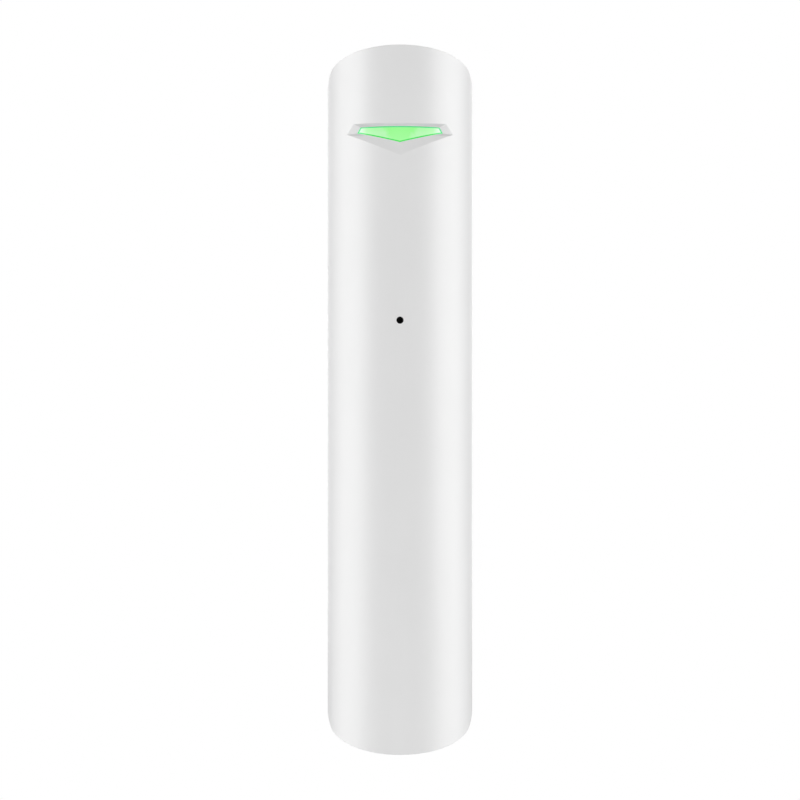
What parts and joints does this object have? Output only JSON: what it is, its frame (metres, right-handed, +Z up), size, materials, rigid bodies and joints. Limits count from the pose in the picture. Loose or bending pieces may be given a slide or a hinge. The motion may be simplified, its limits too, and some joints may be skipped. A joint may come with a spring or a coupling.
{
  "type": "glass break sensor",
  "caption": "Slim wall-mounted acoustic glass break sensor with sloped ends, a lit indicator window, a microphone hole and a slide-on wall bracket.",
  "frame": {"origin": "middle of the bracket's flat back face, on the wall plane", "axes": "+Z up along the sensor, +Y into the wall, +X to the right for someone who looks at the front"},
  "size_m": [0.0196, 0.0213, 0.0922],
  "materials": {
    "housing_plastic": "fine matte moulded white",
    "cover_plastic": "fine matte moulded white",
    "bracket_plastic": "fine matte moulded white",
    "button_plastic": "smooth grey plastic",
    "indicator_lens": "translucent diffusing plastic, lit green",
    "black_plastic": "smooth black plastic",
    "lamp_resin": "clear resin",
    "black_rubber": "soft black rubber",
    "acoustic_mesh": "fine black mesh",
    "board_laminate": "green solder mask",
    "plated_steel": "nickel plated",
    "can_aluminium": "drawn aluminium",
    "chip_ceramic": "tan ceramic",
    "cell_wrap": "plain printed film wrap",
    "coil_wire": "enamelled copper"
  },
  "bodies": {
    "bracket": {"mounting_bracket": "bracket_plastic"},
    "sensor": {"front_housing": "housing_plastic", "rear_cover": "cover_plastic", "indicator_light_guide": "indicator_lens", "light_shroud": "black_plastic", "indicator_leds": "lamp_resin", "main_board": "board_laminate", "board_screws": "plated_steel", "microphone_mesh": "acoustic_mesh", "microphone_boot": "black_rubber", "microphone_capsule": "can_aluminium", "microphone_leads": "plated_steel", "battery_cell": "cell_wrap", "battery_spring": "plated_steel", "battery_negative_contact": "plated_steel", "battery_positive_contact": "plated_steel", "tamper_switch_body": "black_plastic", "pairing_switch_body": "black_plastic", "radio_shield": "plated_steel", "radio_chip": "black_plastic", "crystal_oscillator": "plated_steel", "microcontroller_chip": "black_plastic", "audio_amplifier_chip": "black_plastic", "reservoir_capacitor": "can_aluminium", "chip_capacitors": "chip_ceramic", "chip_resistors": "black_plastic", "antenna_coil": "coil_wire"},
    "tamper_button": {"tamper_plunger": "cover_plastic", "tamper_switch_stem": "button_plastic"},
    "pairing_key": {"pairing_button": "button_plastic", "pairing_switch_stem": "button_plastic"}
  },
  "joints": [
    {"name": "lift_off", "type": "slide", "parent": "bracket", "child": "sensor", "axis": [0, 0, 1], "range_m": [0, 0.0034]},
    {"name": "tamper_press", "type": "slide", "parent": "sensor", "child": "tamper_button", "axis": [0, -1, 0], "range_m": [0, 0.0008], "stiffness_N_per_m": 600, "springref_m": -0.0005},
    {"name": "pairing_press", "type": "slide", "parent": "sensor", "child": "pairing_key", "axis": [0, -1, 0], "range_m": [0, 0.0004], "stiffness_N_per_m": 2000, "springref_m": -0.0002}
  ]
}
